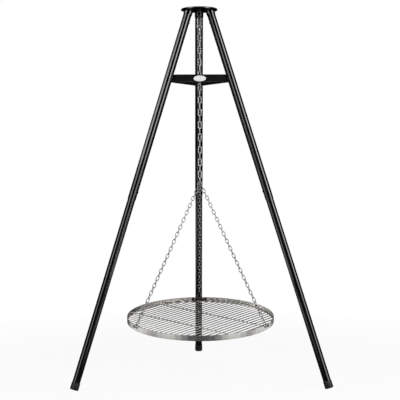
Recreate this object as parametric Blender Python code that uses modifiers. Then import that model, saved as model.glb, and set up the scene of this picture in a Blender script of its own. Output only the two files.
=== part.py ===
"""Tripod grill: three plug-together legs under a pressed head, with a round grate hung on chains.

Metres, +Z up. The tripod's axis is vertical. One leg stands behind it (+Y) and two stand in front.
"""

import math

import bmesh
import bpy
from mathutils import Matrix, Vector

# Fit between pieces that touch, and between linked rings
GAP = 0.0003
HANG = 0.0006

# Head
HEIGHT = 1.747
DISC_MARGIN = 0.0088
DISC_SHEET = 0.0025
DISC_RIM = 0.010
DISC_FOLD = 0.004
DISC_CROWN = 0.0025
HOUSING_WALL = 0.0072
HOUSING_LENGTH = 0.0185
EYE_RADIUS = 0.010
EYE_WIRE = 0.003
EYE_PLAY = 0.0015
SHANK_RADIUS = 0.0045
SHANK_HEAD_RADIUS = 0.0090
SHANK_HEAD_LENGTH = 0.005
HOUSING_LIP = 0.006

# Legs
FOOT_CIRCLE = 0.6615
HEAD_CIRCLE = 0.0556
TUBE_RADIUS = 0.0192
TUBE_WALL = 0.0012
COLLAR_STEP = 0.0018
COLLAR_LENGTH = 0.030
SPIGOT_LENGTH = 0.110
LOWER_TUBE_TOP = 0.980
PLUG_DEPTH = 0.080
FOOT_WALL = 0.0016
FOOT_LENGTH = 0.034
FOOT_FLOOR = 0.005
FOOT_ROUND = 0.004
FOOT_FLAT = 0.0035
LEG_AZIMUTHS = {"left": 210, "right": 330, "rear": 90}

# Screws
SCREW_RADIUS = 0.0025
SCREW_HEAD_RADIUS = 0.0048
SCREW_HEAD_LENGTH = 0.0028
BRACE_SCREW_RADIUS = 0.003
BRACE_SCREW_HEAD_RADIUS = 0.0062
BRACE_SCREW_HEAD_LENGTH = 0.004
SCREW_REACH = 0.008

# Brace between the legs
BRACE_DROP = 0.319
BRACE_DEPTH = 0.036
BRACE_SHEET = 0.002
BRACE_CORNER = 0.016
BRACE_HOLE_RADIUS = 0.055
BADGE_WIDTH = 0.058
BADGE_HEIGHT = 0.027
BADGE_THICKNESS = 0.0016

# Snap hook
HOOK_LENGTH = 0.060
HOOK_WIDTH = 0.027
HOOK_WIRE = 0.003
GATE_WIRE = 0.0025
GATE_PLAY = 0.0012
NOSE_LENGTH = 0.0035

# Chains
MAIN_LINKS = 24
MAIN_PITCH = 0.02965
MAIN_WIRE = 0.0023
MAIN_LINK_ROOM = 0.0090
BRIDLE_PITCH = 0.0188
BRIDLE_WIRE = 0.0018
BRIDLE_LINK_ROOM = 0.0093
LINK_BITE = 0.0002
# A link's flat end and its rounded shoulder, as shares of the link's half width
TIP_SHARE = 0.55
SHOULDER_SHARE = 0.7
RING_RADIUS = 0.0135
RING_WIRE = 0.0025
# Where each bridle hangs on the ring, from its lowest point, in widths of the bridle's wire as it leans
BRIDLE_SEATS = {"left": -0.2, "right": -1.4, "rear": 1.5}

# Grate
GRATE_RADIUS = 0.350
GRATE_HEIGHT = 0.288
GRATE_TILT = 7
BAND_HEIGHT = 0.025
BAND_WALL = 0.0025
BAND_STEPS = 72
WINDOW_WIDTH = 0.020
WINDOW_HEIGHT = 0.0125
WINDOW_DROP = 0.003
STRIP_WIDTH = 0.012
LUG_PLAY = 0.0014
LUG_SHEET = 0.002
LUG_HEIGHT = 0.0130
LUG_SHIFT = 0.00075
LUG_FOOT = 0.008
LUG_RAMP = 0.005
BAR_RADIUS = 0.0025
BAR_PITCH = 0.025
BAR_LIFT = 0.0085
BAR_AZIMUTH = 50
CROSS_RADIUS = 0.0025
CROSS_OFFSET = 0.105
# How far the bars and the cross bars are welded into each other
WELD_SINK = 0.0012
RIM_RING_WIRE = 0.002
RIM_RING_RISE = 0.045
RIM_RING_TOP = 0.007
RIM_RING_PLAY = 0.001

LEAN = math.atan2(FOOT_CIRCLE - HEAD_CIRCLE, HEIGHT - DISC_RIM)
UNDER_DISC = HEIGHT - DISC_CROWN - DISC_SHEET
LEG_LENGTH = UNDER_DISC / math.cos(LEAN)
INNER_RADIUS = TUBE_RADIUS - TUBE_WALL - GAP
COLLAR_RADIUS = TUBE_RADIUS + COLLAR_STEP
DISC_RADIUS = HEAD_CIRCLE + COLLAR_RADIUS / math.cos(LEAN) + DISC_MARGIN
HOUSING_RADIUS = SHANK_HEAD_RADIUS + GAP + HOUSING_WALL
BRACE_TOP = HEIGHT - BRACE_DROP
HOOK_HALF = HOOK_WIDTH / 2 - HOOK_WIRE
HOOK_STRAIGHT = HOOK_LENGTH / 2 - HOOK_WIRE - HOOK_HALF
GATE_HALF = HOOK_STRAIGHT - NOSE_LENGTH
BAR_DROP = BAND_HEIGHT - BAR_LIFT
CROSS_BELOW = BAR_RADIUS + CROSS_RADIUS - WELD_SINK
RIM_RING_LEVEL = -WINDOW_DROP - RIM_RING_WIRE - GAP - RIM_RING_PLAY
UP = Vector((0, 0, 1))

for leftover in list(bpy.data.objects):
    bpy.data.objects.remove(leftover)

parts = bpy.data.collections.new("tripod_grill")
cutters = bpy.data.collections.new("cutters")
cutters.hide_render = True
for group in (parts, cutters):
    bpy.context.scene.collection.children.link(group)


def finish(name, colour, roughness, metallic):
    material = bpy.data.materials.new(name)
    material.use_nodes = True
    shader = material.node_tree.nodes["Principled BSDF"]
    shader.inputs["Base Color"].default_value = (*colour, 1)
    shader.inputs["Roughness"].default_value = roughness
    shader.inputs["Metallic"].default_value = metallic
    return material


BLACK_PAINT = finish("black_paint", (0.012, 0.012, 0.013), 0.25, 0)
BLACK_PLASTIC = finish("black_plastic", (0.015, 0.015, 0.015), 0.6, 0)
ZINC = finish("zinc", (0.55, 0.56, 0.57), 0.3, 1)
STAINLESS = finish("stainless", (0.6, 0.59, 0.57), 0.28, 1)
BLACK_STEEL = finish("black_steel", (0.03, 0.028, 0.026), 0.5, 0.6)
WHITE_BADGE = finish("white_badge", (0.8, 0.8, 0.8), 0.3, 0)


def empty(name, position, parent=None):
    """A joint's pivot. Its position is given in the tripod's own coordinates."""
    pivot = bpy.data.objects.new(name, None)
    parts.objects.link(pivot)
    if parent:
        pivot.parent = parent
        pivot.location = Vector(position) - pivot_place[parent.name]
    pivot_place[name] = Vector(position)
    return pivot


def place(name, mesh, material, pivot, frame=None, group=None):
    """A part built in the tripod's coordinates, hung on a pivot."""
    part = bpy.data.objects.new(name, mesh)
    (group or parts).objects.link(part)
    part.parent = pivot
    part.matrix_local = Matrix.Translation(-pivot_place[pivot.name]) @ (frame or Matrix())
    if material:
        mesh.materials.clear()
        mesh.materials.append(material)
    return part


def shade_round(part):
    part.data.shade_smooth()
    part.data.set_sharp_from_angle(angle=math.radians(35))


def turned(name, profile, material, pivot, frame=None, steps=24, closed=False, group=None):
    """A profile of (radius, height) points, top to bottom along its outer side, turned about local Z."""
    mesh = bpy.data.meshes.new(name)
    count = len(profile)
    edges = [(i, i + 1) for i in range(count - 1)]
    if closed:
        edges.append((count - 1, 0))
    mesh.from_pydata([(radius, 0, height) for radius, height in profile], edges, [])
    part = place(name, mesh, material, pivot, frame, group)
    screw = part.modifiers.new("turn", "SCREW")
    screw.steps = steps
    screw.render_steps = steps
    screw.use_merge_vertices = True
    screw.merge_threshold = 1e-5
    screw.use_smooth_shade = True
    return part


def swept_mesh(name, paths, radius, cyclic, resolution, tilt=0):
    """Wire along each path, as one mesh with its end caps welded."""
    curve = bpy.data.curves.new(name, "CURVE")
    curve.dimensions = "3D"
    curve.bevel_depth = radius
    curve.bevel_resolution = resolution
    curve.use_fill_caps = not cyclic
    for path in paths:
        spline = curve.splines.new("POLY")
        spline.points.add(len(path) - 1)
        for point, position in zip(spline.points, path):
            point.co = (*position, 1)
            point.tilt = tilt
        spline.use_cyclic_u = cyclic
    holder = bpy.data.objects.new(name + "_path", curve)
    bpy.context.scene.collection.objects.link(holder)
    evaluated = holder.evaluated_get(bpy.context.evaluated_depsgraph_get())
    mesh = bpy.data.meshes.new_from_object(evaluated)
    bpy.data.objects.remove(holder)
    shape = bmesh.new()
    shape.from_mesh(mesh)
    bmesh.ops.remove_doubles(shape, verts=shape.verts, dist=1e-6)
    shape.to_mesh(mesh)
    shape.free()
    return mesh


def wire(name, paths, radius, material, pivot, frame=None, cyclic=False, resolution=2, group=None):
    mesh = swept_mesh(name, paths, radius, cyclic, resolution)
    part = place(name, mesh, material, pivot, frame, group)
    shade_round(part)
    return part


def rod_mesh(name, radius, length, sides):
    """A cylinder that stands on the origin."""
    shape = bmesh.new()
    bmesh.ops.create_cone(
        shape, cap_ends=True, segments=sides, radius1=radius, radius2=radius, depth=length,
        matrix=Matrix.Translation((0, 0, length / 2)),
    )
    mesh = bpy.data.meshes.new(name)
    shape.to_mesh(mesh)
    shape.free()
    return mesh


def boolean(part, tool, operation):
    change = part.modifiers.new(operation.lower(), "BOOLEAN")
    change.operation = operation
    change.solver = "EXACT"
    change.object = tool
    tool.hide_render = True
    tool.display_type = "WIRE"


def box_cutter(name, size, pivot, frame):
    shape = bmesh.new()
    bmesh.ops.create_cube(shape, size=1, matrix=Matrix.Diagonal((*size, 1)))
    mesh = bpy.data.meshes.new(name)
    shape.to_mesh(mesh)
    shape.free()
    return place(name, mesh, None, pivot, frame, cutters)


def circle_point(centre, radius, angle, across, along):
    """A point on a circle, at an angle in radians from one axis towards the other."""
    return centre + (across * math.cos(angle) + along * math.sin(angle)) * radius


def radial(azimuth):
    return Vector((math.cos(math.radians(azimuth)), math.sin(math.radians(azimuth)), 0))


def frame_from(x_axis, y_axis, z_axis, origin):
    frame = Matrix((x_axis, y_axis, z_axis)).transposed().to_4x4()
    frame.translation = origin
    return frame


def leg_frame(azimuth):
    """Local Z runs up the leg from the ground. Local X points in, square to the leg."""
    outward = radial(azimuth)
    along = UP * math.cos(LEAN) - outward * math.sin(LEAN)
    inward = -outward * math.cos(LEAN) - UP * math.sin(LEAN)
    return frame_from(inward, along.cross(inward), along, outward * FOOT_CIRCLE)


def leg_radius_at(height):
    """The distance from the tripod's axis to a leg's axis at this height."""
    return FOOT_CIRCLE - height * math.tan(LEAN)


pivot_place = {}
tripod = empty("tripod_axis", (0, 0, 0))


# Head: pressed disc with a turned-down rim, and the housing of the swivel eye
def build_head():
    rim_bottom = HEIGHT - DISC_RIM
    shoulder = HEIGHT - DISC_CROWN
    inner = DISC_RADIUS - DISC_SHEET
    turned(
        "top_disc",
        [
            (0, HEIGHT),
            (DISC_RADIUS * 0.6, HEIGHT - DISC_CROWN * 0.3),
            (DISC_RADIUS - DISC_FOLD, shoulder),
            (DISC_RADIUS - DISC_FOLD * 0.3, shoulder - DISC_FOLD * 0.3),
            (DISC_RADIUS, shoulder - DISC_FOLD),
            (DISC_RADIUS, rim_bottom),
            (inner, rim_bottom),
            (inner, UNDER_DISC),
            (0, UNDER_DISC),
        ],
        BLACK_PAINT, tripod, steps=48,
    )
    housing_top = UNDER_DISC - GAP
    housing_bottom = housing_top - HOUSING_LENGTH
    bore = SHANK_RADIUS + GAP
    pocket = SHANK_HEAD_RADIUS + GAP
    turned(
        "swivel_housing",
        [
            (HOUSING_RADIUS, housing_top),
            (HOUSING_RADIUS, housing_bottom + 0.003),
            (HOUSING_RADIUS - 0.003, housing_bottom),
            (bore, housing_bottom),
            (bore, housing_bottom + HOUSING_LIP),
            (pocket, housing_bottom + HOUSING_LIP),
            (pocket, housing_top),
        ],
        BLACK_PAINT, tripod, closed=True,
    )
    return housing_bottom


def build_leg(side, azimuth):
    frame = leg_frame(azimuth)
    bore = TUBE_RADIUS - TUBE_WALL
    collar_bottom = LEG_LENGTH - COLLAR_LENGTH
    spigot = turned(
        f"leg_spigot_{side}",
        [
            (COLLAR_RADIUS, LEG_LENGTH + COLLAR_RADIUS),
            (COLLAR_RADIUS, collar_bottom),
            (INNER_RADIUS, collar_bottom),
            (INNER_RADIUS, LEG_LENGTH - SPIGOT_LENGTH),
            (INNER_RADIUS - TUBE_WALL, LEG_LENGTH - SPIGOT_LENGTH),
            (INNER_RADIUS - TUBE_WALL, LEG_LENGTH + COLLAR_RADIUS),
        ],
        BLACK_PAINT, tripod, frame, closed=True,
    )
    above = Matrix.Translation((0, 0, UNDER_DISC - GAP + 0.05)) @ Matrix.Translation(
        radial(azimuth) * HEAD_CIRCLE
    )
    boolean(spigot, box_cutter(f"above_head_{side}", (0.1, 0.1, 0.1), tripod, above), "DIFFERENCE")

    upper_top = collar_bottom - GAP
    upper = turned(
        f"upper_leg_{side}",
        [
            (TUBE_RADIUS, upper_top),
            (TUBE_RADIUS, LOWER_TUBE_TOP - PLUG_DEPTH),
            (bore, LOWER_TUBE_TOP - PLUG_DEPTH),
            (bore, upper_top),
        ],
        BLACK_PAINT, tripod, frame, closed=True,
    )
    foot_base = (TUBE_RADIUS * math.sin(LEAN) - FOOT_FLAT) / math.cos(LEAN)
    lower_end = foot_base + FOOT_FLOOR + GAP
    lower = turned(
        f"lower_leg_{side}",
        [
            (INNER_RADIUS, LOWER_TUBE_TOP),
            (INNER_RADIUS, lower_end),
            (INNER_RADIUS - TUBE_WALL, lower_end),
            (INNER_RADIUS - TUBE_WALL, LOWER_TUBE_TOP),
        ],
        BLACK_PAINT, tripod, frame, closed=True,
    )
    build_foot(side, frame, foot_base)

    fixings = {
        f"spigot_screw_{side}": (LEG_LENGTH - SPIGOT_LENGTH * 0.6, [upper, spigot]),
        f"joint_screw_{side}": (LOWER_TUBE_TOP - PLUG_DEPTH / 2, [upper, lower]),
    }
    for name, (station, holed) in fixings.items():
        seat = TUBE_RADIUS + GAP
        screw(name, frame, station, seat, SCREW_RADIUS, SCREW_HEAD_RADIUS, SCREW_HEAD_LENGTH)
        for part in holed:
            drill(part, f"{name}_hole_{part.name}", frame, station, SCREW_RADIUS + GAP)
    return frame, upper


def build_foot(side, frame, base):
    """A plastic cap whose rounded end is cut flat where it meets the ground."""
    outer = INNER_RADIUS + GAP + FOOT_WALL
    corner = [
        (outer - FOOT_ROUND + FOOT_ROUND * math.cos(turn), base + FOOT_ROUND - FOOT_ROUND * math.sin(turn))
        for turn in (0, math.pi / 6, math.pi / 3, math.pi / 2)
    ]
    profile = [
        (0, base + FOOT_FLOOR),
        (INNER_RADIUS + GAP, base + FOOT_FLOOR),
        (INNER_RADIUS + GAP, base + FOOT_LENGTH),
        (outer - 0.0005, base + FOOT_LENGTH),
        *corner,
        (0, base),
    ]
    cap = turned(f"foot_cap_{side}", profile, BLACK_PLASTIC, tripod, frame)
    ground = Matrix.Translation(frame.translation + Vector((0, 0, -0.05)))
    boolean(cap, box_cutter(f"ground_{side}", (0.1, 0.1, 0.1), tripod, ground), "DIFFERENCE")


def screw(name, frame, station, seat, radius, head_radius, head_length):
    """A pan-head screw that enters the leg from its inner side, at a station along the leg."""
    inward = frame @ Matrix.Translation((seat, 0, station)) @ Matrix.Rotation(math.pi / 2, 4, "Y")
    turned(
        name,
        [
            (0, head_length),
            (head_radius * 0.7, head_length * 0.85),
            (head_radius, head_length * 0.3),
            (head_radius, 0),
            (radius, 0),
            (radius, -SCREW_REACH),
            (0, -SCREW_REACH),
        ],
        ZINC, tripod, inward, steps=12,
    )


def drill(part, name, frame, station, radius):
    """A round hole through the leg's inner wall and what lies on it."""
    start = frame @ Matrix.Translation((SCREW_REACH / 2, 0, station)) @ Matrix.Rotation(math.pi / 2, 4, "Y")
    tool = place(name, rod_mesh(name, radius, 0.04, 16), None, tripod, start, cutters)
    boolean(part, tool, "DIFFERENCE")


# Brace: a three-sided pressed tray, folded down, whose cut corners lean with the legs
def brace_corner_points(height, corner):
    """The outline's six corners at a height, where its short sides meet the legs."""
    reach = leg_radius_at(height) - TUBE_RADIUS / math.cos(LEAN) - GAP
    points = []
    for azimuth in (90, 210, 330):
        outward = radial(azimuth)
        sideways = Vector((-outward.y, outward.x, 0))
        for turn in (-1, 1):
            points.append(outward * reach + sideways * turn * corner + UP * height)
    return points


def build_brace(legs):
    bottom = BRACE_TOP - BRACE_DEPTH
    slant = (leg_radius_at(bottom) - leg_radius_at(BRACE_TOP)) * math.tan(math.radians(30))
    shape = bmesh.new()
    top_verts = [shape.verts.new(point) for point in brace_corner_points(BRACE_TOP, BRACE_CORNER)]
    web = shape.faces.new(top_verts)
    skirt = bmesh.ops.extrude_edge_only(shape, edges=list(web.edges))["geom"]
    lowered = [item for item in skirt if isinstance(item, bmesh.types.BMVert)]
    targets = brace_corner_points(bottom, BRACE_CORNER - slant)
    for vert in lowered:
        nearest = min(range(6), key=lambda i: (top_verts[i].co - vert.co).length)
        vert.co = targets[nearest]
    bmesh.ops.recalc_face_normals(shape, faces=shape.faces)
    if web.normal.z < 0:
        bmesh.ops.reverse_faces(shape, faces=shape.faces)
    mesh = bpy.data.meshes.new("brace_plate")
    shape.to_mesh(mesh)
    shape.free()
    brace = place("brace_plate", mesh, BLACK_PAINT, tripod)
    shell = brace.modifiers.new("sheet", "SOLIDIFY")
    shell.thickness = BRACE_SHEET
    shell.offset = -1
    shell.use_even_offset = True
    hole = Matrix.Translation((0, 0, BRACE_TOP - 0.02))
    tool = place(
        "chain_hole", rod_mesh("chain_hole", BRACE_HOLE_RADIUS, 0.04, 32), None, tripod, hole, cutters
    )
    boolean(brace, tool, "DIFFERENCE")
    station = (BRACE_TOP - BRACE_DEPTH / 2) / math.cos(LEAN)
    for side, (frame, upper) in legs.items():
        seat = TUBE_RADIUS + GAP + BRACE_SHEET + GAP
        name = f"brace_screw_{side}"
        screw(
            name, frame, station, seat, BRACE_SCREW_RADIUS, BRACE_SCREW_HEAD_RADIUS, BRACE_SCREW_HEAD_LENGTH
        )
        drill(upper, f"{name}_leg_hole", frame, station, BRACE_SCREW_RADIUS + GAP)
        drill(brace, f"{name}_brace_hole", frame, station, BRACE_SCREW_RADIUS + GAP)
    front = min(point.y for point in brace_corner_points(BRACE_TOP, BRACE_CORNER))
    build_badge(front - GAP, BRACE_TOP - BRACE_DEPTH / 2 - 0.001)


def build_badge(face, height):
    """A blank oval plate on the front flange."""
    curve = bpy.data.curves.new("badge", "CURVE")
    curve.dimensions = "2D"
    curve.fill_mode = "BOTH"
    curve.extrude = BADGE_THICKNESS / 2
    outline = curve.splines.new("POLY")
    steps = 32
    outline.points.add(steps - 1)
    for i, point in enumerate(outline.points):
        angle = 2 * math.pi * i / steps
        point.co = (BADGE_WIDTH / 2 * math.cos(angle), BADGE_HEIGHT / 2 * math.sin(angle), 0, 1)
    outline.use_cyclic_u = True
    curve.materials.append(WHITE_BADGE)
    badge = bpy.data.objects.new("badge", curve)
    parts.objects.link(badge)
    badge.parent = tripod
    badge.location = (0, face - BADGE_THICKNESS / 2, height)
    badge.rotation_euler = (math.pi / 2, 0, 0)


# Hanging gear, from the swivel eye down
def build_eye(housing_bottom, pivot):
    centre = housing_bottom - EYE_PLAY - EYE_WIRE - EYE_RADIUS
    shank_top = housing_bottom + HOUSING_LIP + GAP + SHANK_HEAD_LENGTH
    seat = housing_bottom + HOUSING_LIP + GAP
    eye = turned(
        "swivel_eye",
        [
            (0, shank_top),
            (SHANK_HEAD_RADIUS, shank_top),
            (SHANK_HEAD_RADIUS, seat),
            (SHANK_RADIUS, seat),
            (SHANK_RADIUS, centre + EYE_RADIUS),
            (0, centre + EYE_RADIUS),
        ],
        BLACK_PAINT, pivot, steps=16,
    )
    steps = 20
    path = [
        circle_point(Vector((0, 0, centre)), EYE_RADIUS, 2 * math.pi * (i + 0.5) / steps, Vector((0, 1, 0)), UP)
        for i in range(steps)
    ]
    loop = wire("eye_loop", [path], EYE_WIRE, None, pivot, cyclic=True, group=cutters)
    boolean(eye, loop, "UNION")
    return centre - EYE_RADIUS


def build_snap_hook(top_wire, pivot, gate_pivot):
    """The hook's wire runs from the gate's upper end, over the top and round to the gate's lower end."""
    centre = top_wire - HOOK_LENGTH / 2 + HOOK_WIRE
    steps = 6
    turns = [math.pi * i / steps for i in range(steps + 1)]
    top_arc = [(HOOK_HALF * math.cos(turn), HOOK_STRAIGHT + HOOK_HALF * math.sin(turn)) for turn in turns]
    bottom_arc = [(-x, -z) for x, z in top_arc]
    outline = [(HOOK_HALF, GATE_HALF)] + top_arc + bottom_arc + [(HOOK_HALF, -GATE_HALF)]
    path = [Vector((x, 0, centre + z)) for x, z in outline]
    wire("snap_hook", [path], HOOK_WIRE, ZINC, pivot)
    length = 2 * GATE_HALF - GAP - GATE_PLAY
    bottom = centre - GATE_HALF + GATE_PLAY
    gate = place(
        "snap_hook_gate",
        rod_mesh("snap_hook_gate", GATE_WIRE, length, 10),
        ZINC,
        gate_pivot,
        Matrix.Translation((HOOK_HALF, 0, bottom)),
    )
    shade_round(gate)


def hook_gate_hinge(top_wire):
    centre = top_wire - HOOK_LENGTH / 2 + HOOK_WIRE
    return (HOOK_HALF, 0, centre - GATE_HALF + GATE_PLAY + GATE_WIRE)


def link_mesh(name, half_length, half_width, tip, half_side, shoulder):
    """One link of square wire, flat in local XY, with its length along Y.

    Each end is flat where the next link bears on it. The sides are straight up to the shoulders, or
    meet in one corner each where the shoulder is nought.
    """
    half = [(half_width, shoulder), (tip, half_length), (-tip, half_length), (-half_width, shoulder)]
    corners = half + [(-x, -y) for x, y in half]
    path = [(x, y, 0) for x, y in dict.fromkeys(corners)]
    return swept_mesh(name, [path], half_side * math.sqrt(2), True, 0, math.pi / 4)


def repeated_mesh(name, mesh, frames):
    shape = bmesh.new()
    for frame in frames:
        known = len(shape.verts)
        shape.from_mesh(mesh)
        bmesh.ops.transform(shape, matrix=frame, verts=list(shape.verts)[known:])
    joined = bpy.data.meshes.new(name)
    shape.to_mesh(joined)
    shape.free()
    return joined


def chain(name, start, end, count, first_across, last_across, wire_radius, room, shouldered, pivot):
    """Links joined end to end between two points. Each is turned by 90 degrees from the one before.

    The room is a link's width inside its wire.
    The rest of the twist from the first link to the last is spread along the chain.
    """
    along = (start - end).normalized()
    pitch = (start - end).length / count
    # Square wire with the area of the round wire
    half_side = wire_radius * math.sqrt(math.pi) / 2
    half_width = room / 2 + 2 * wire_radius - half_side
    tip = half_width * TIP_SHARE
    slope_height = half_width * SHOULDER_SHARE if shouldered else pitch / 2 + half_side
    # The wire is thinner where it bends into the flat end
    bend = math.pi / 2 - math.atan2(half_width - tip, slope_height)
    half_length = pitch / 2 + half_side * math.cos(bend / 2) - LINK_BITE / 2
    shoulder = half_length - slope_height if shouldered else 0
    link = link_mesh(name + "_link", half_length, half_width, tip, half_side, shoulder)
    first = (first_across - along * first_across.dot(along)).normalized()
    last = (last_across - along * last_across.dot(along)).normalized()
    quarter_turns = math.pi / 2 * (count - 1)
    twist = math.atan2(along.dot(first.cross(last)), first.dot(last)) - quarter_turns
    spare = (twist + math.pi / 2) % math.pi - math.pi / 2
    frames = []
    for k in range(count):
        turn = (quarter_turns + spare) * k / (count - 1)
        across = Matrix.Rotation(turn, 3, along) @ first
        frames.append(frame_from(across, along, across.cross(along), start - along * pitch * (k + 0.5)))
    links = place(name, repeated_mesh(name, link, frames[::2]), ZINC, pivot)
    others = place(name + "_others", repeated_mesh(name + "_others", link, frames[1::2]), None, pivot, group=cutters)
    boolean(links, others, "UNION")


def build_ring(centre, pivot):
    steps = 20
    path = [
        circle_point(Vector((0, 0, centre)), RING_RADIUS, 2 * math.pi * i / steps, Vector((0, 1, 0)), UP)
        for i in range(steps)
    ]
    wire("junction_ring", [path], RING_WIRE, ZINC, pivot, cyclic=True, resolution=1)


# Grate: a welded grid in a flat band
def grate_point(radius, azimuth, height):
    """A point given by its radius, azimuth in degrees and height over the band's top edge."""
    return grate_frame @ (radial(azimuth) * radius + UP * height)


def build_grate(pivot):
    inside = GRATE_RADIUS - BAND_WALL
    # The band's flats lie a little inside its corners
    reach = inside * math.cos(math.pi / BAND_STEPS) - GAP
    band = turned(
        "grate_band",
        [
            (GRATE_RADIUS, 0),
            (GRATE_RADIUS, -BAND_HEIGHT),
            (inside, -BAND_HEIGHT),
            (inside, 0),
        ],
        STAINLESS, pivot, grate_frame, steps=BAND_STEPS, closed=True,
    )
    window_shift = (STRIP_WIDTH + WINDOW_WIDTH) / 2
    for side, azimuth in LEG_AZIMUTHS.items():
        for end in (-1, 1):
            turn = Matrix.Rotation(math.radians(azimuth), 4, "Z")
            spot = Matrix.Translation(
                (GRATE_RADIUS, end * window_shift, -WINDOW_DROP - WINDOW_HEIGHT / 2)
            )
            size = (0.02, WINDOW_WIDTH, WINDOW_HEIGHT)
            window = box_cutter(f"window_{side}_{end}", size, pivot, grate_frame @ turn @ spot)
            boolean(band, window, "DIFFERENCE")
        build_lug(side, azimuth, reach, pivot)
    build_bars(reach, pivot)


def build_lug(side, azimuth, wall, pivot):
    """A bowed strap inside the band, behind the two windows."""
    half = STRIP_WIDTH / 2 + WINDOW_WIDTH
    ramp_end = half - LUG_RAMP * 0.2
    ramp_start = ramp_end + LUG_RAMP
    lug_top = (LUG_HEIGHT - WINDOW_HEIGHT) / 2 + LUG_SHIFT - WINDOW_DROP
    # The rim ring leans inwards with the bridle between the window and the lug's top edge
    standoff = 2 * RIM_RING_WIRE + LUG_PLAY + bridle_lean * (lug_top - RIM_RING_LEVEL)
    stations = [
        (ramp_start + LUG_FOOT, 0),
        (ramp_start, 0),
        (ramp_end, standoff),
        (half / 2, standoff),
    ]
    stations += [(-along, stand) for along, stand in reversed(stations)]
    shape = bmesh.new()
    rows = []
    for height in (lug_top, lug_top - LUG_HEIGHT):
        row = []
        for along, stand in stations:
            reach = wall - stand - LUG_SHEET / 2
            row.append(shape.verts.new(radial(azimuth + math.degrees(along / wall)) * reach + UP * height))
        rows.append(row)
    for i in range(len(stations) - 1):
        shape.faces.new((rows[0][i], rows[0][i + 1], rows[1][i + 1], rows[1][i]))
    mesh = bpy.data.meshes.new(f"hanger_lug_{side}")
    shape.to_mesh(mesh)
    shape.free()
    lug = place(f"hanger_lug_{side}", mesh, BLACK_STEEL, pivot, grate_frame)
    shell = lug.modifiers.new("sheet", "SOLIDIFY")
    shell.thickness = LUG_SHEET
    shell.offset = 0
    shell.use_even_offset = True


def build_bars(reach, pivot):
    """Parallel bars welded on two cross bars, all inside the band."""
    along = radial(BAR_AZIMUTH)
    across = radial(BAR_AZIMUTH + 90)
    bar_level = UP * (-BAR_DROP - BAR_RADIUS)
    cross_level = bar_level - UP * CROSS_BELOW
    count = int(2 * reach / BAR_PITCH)
    bars = []
    for i in range(count):
        offset = (i - (count - 1) / 2) * BAR_PITCH
        edge = abs(offset) + BAR_RADIUS
        half = math.sqrt(max(reach**2 - edge**2, 0))
        if half > CROSS_OFFSET + 2 * CROSS_RADIUS:
            bars.append([bar_level + across * offset + along * half * end for end in (-1, 1)])
    crosses = []
    for offset in (-CROSS_OFFSET, CROSS_OFFSET):
        half = math.sqrt(reach**2 - (abs(offset) + CROSS_RADIUS) ** 2)
        crosses.append([cross_level + along * offset + across * half * end for end in (-1, 1)])
    grid = wire("grate_bars", bars, BAR_RADIUS, STAINLESS, pivot, grate_frame, resolution=1)
    tool = wire("cross_bars", crosses, CROSS_RADIUS, None, pivot, grate_frame, resolution=1, group=cutters)
    boolean(grid, tool, "UNION")


def rim_ring_path(azimuth, anchor):
    """A long ring that passes through both windows, round the strip between them, and up to the chain."""
    sideways = grate_frame.to_3x3() @ Vector((-radial(azimuth).y, radial(azimuth).x, 0))
    outside = GRATE_RADIUS + RIM_RING_WIRE + GAP
    inside = GRATE_RADIUS - BAND_WALL - RIM_RING_WIRE - GAP - RIM_RING_PLAY / 2
    spread = STRIP_WIDTH / 2 + RIM_RING_WIRE + RIM_RING_PLAY
    points = []
    for end in (-1, 1):
        shift = sideways * spread * end
        low = grate_point(outside, azimuth, RIM_RING_LEVEL - RIM_RING_PLAY) + shift
        turn = grate_point(inside, azimuth, RIM_RING_LEVEL) + shift
        top = anchor + sideways * end * RIM_RING_TOP / 2
        bend = [top, turn, low]
        points += bend if end < 0 else list(reversed(bend))
    return points


def build_bridle(side, azimuth, ring_centre, pivot):
    hang_radius = GRATE_RADIUS - BAND_WALL - RIM_RING_WIRE - RIM_RING_PLAY
    rim_point = grate_point(hang_radius, azimuth, -WINDOW_DROP)
    bearing_radius = RING_RADIUS - RING_WIRE - HANG - BRIDLE_WIRE
    steepness = (UP * ring_centre - rim_point).normalized().z
    seat_angle = BRIDLE_SEATS[side] * 2 * BRIDLE_WIRE / steepness / bearing_radius
    seat = Vector((0, math.sin(seat_angle), -math.cos(seat_angle))) * RING_RADIUS
    seat.z += ring_centre
    down = (rim_point - seat).normalized()
    anchor = rim_point - down * RIM_RING_RISE
    # A link that doesn't hang square to the ring's wire needs more room over it
    slant = abs((seat - UP * ring_centre).normalized().cross(down).x)
    hang = GAP + slant * 2 * BRIDLE_WIRE
    wire(
        f"rim_ring_{side}", [rim_ring_path(azimuth, anchor)], RIM_RING_WIRE, ZINC, pivot,
        cyclic=True, resolution=1,
    )
    # The end links reach past the wires that they hang on by the wires' own thickness
    start = seat - down * (RING_WIRE + hang + LINK_BITE / 2)
    end = anchor + down * (RIM_RING_WIRE + GAP + LINK_BITE / 2)
    count = round((start - end).length / BRIDLE_PITCH)
    sideways = grate_frame.to_3x3() @ Vector((-radial(azimuth).y, radial(azimuth).x, 0))
    last_across = down.cross(sideways)
    chain(
        f"bridle_chain_{side}", start, end, count, Vector((1, 0, 0)), last_across,
        BRIDLE_WIRE, BRIDLE_LINK_ROOM, False, pivot,
    )


def stand_on_origin():
    """Moves the whole model so that the bottom centre of its box is the origin."""
    bpy.context.view_layer.update()
    graph = bpy.context.evaluated_depsgraph_get()
    corners = []
    for part in parts.objects:
        if part.type != "EMPTY":
            shape = part.evaluated_get(graph).to_mesh()
            corners += [part.matrix_world @ vert.co for vert in shape.vertices]
    for axis in range(2):
        values = [corner[axis] for corner in corners]
        tripod.location[axis] = -(min(values) + max(values)) / 2
    tripod.location.z = -min(corner.z for corner in corners)


housing_base = build_head()
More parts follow.
